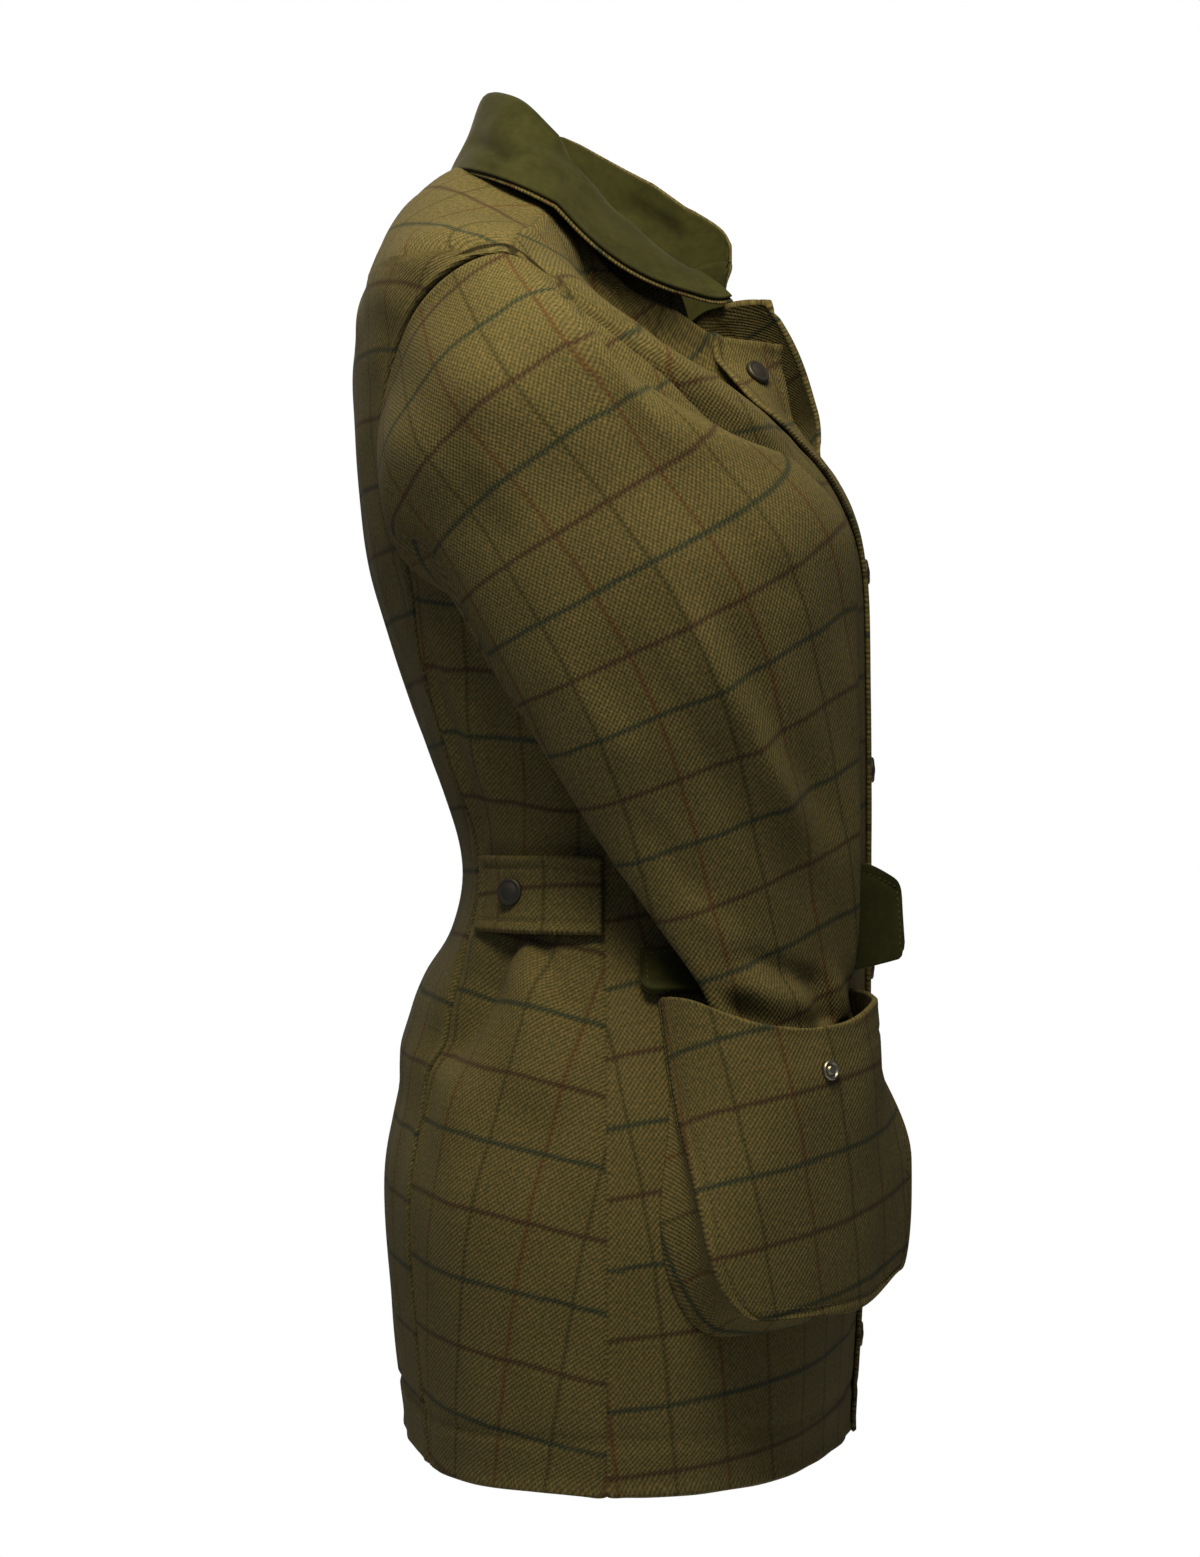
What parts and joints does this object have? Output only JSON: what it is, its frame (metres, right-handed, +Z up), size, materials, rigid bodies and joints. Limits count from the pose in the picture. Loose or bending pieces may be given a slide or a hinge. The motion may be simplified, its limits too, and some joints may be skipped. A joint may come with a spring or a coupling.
{
  "type": "tweed shooting jacket",
  "caption": "Waisted tweed shooting jacket, filled out as worn, with a turned moleskin collar, snap storm placket, waist tabs and bellows pockets that hold the sleeve ends.",
  "frame": {"origin": "middle of the neck base between the two shoulder seams' neck ends, where the wearer's shoulders carry the jacket", "axes": "+Z up, -Y to the jacket's front, +X to the wearer's left"},
  "size_m": [0.4814, 0.3157, 0.7772],
  "materials": {
    "tweed": "olive and ochre twill with a teal, maroon and rust windowpane check",
    "moleskin": "short brushed nap, dark olive green",
    "black_snap": "black lacquered snap cap",
    "steel_snap": "bare nickel snap stud"
  },
  "bodies": {
    "root": {"back_panel": "tweed", "side_back_R": "tweed", "side_back_L": "tweed", "front_R": "tweed", "front_L": "tweed", "storm_placket_R": "tweed", "sleeve_R": "tweed", "sleeve_L": "tweed", "collar_top": "moleskin", "collar_under": "tweed", "pocket_face_R": "tweed", "pocket_face_L": "tweed", "pocket_gusset_R": "tweed", "pocket_gusset_L": "tweed", "pocket_flap_R": "tweed", "pocket_flap_L": "tweed", "pocket_flap_lining_R": "moleskin", "pocket_flap_lining_L": "moleskin", "waist_tab_R": "tweed", "waist_tab_L": "tweed", "placket_stud_1": "black_snap", "placket_stud_2": "black_snap", "placket_stud_3": "black_snap", "placket_stud_4": "black_snap", "placket_stud_5": "black_snap", "placket_stud_6": "black_snap", "neck_stud_L": "black_snap", "tab_stud_R": "black_snap", "tab_stud_L": "black_snap", "pocket_stud_R": "steel_snap", "pocket_stud_L": "steel_snap"}
  },
  "joints": []
}
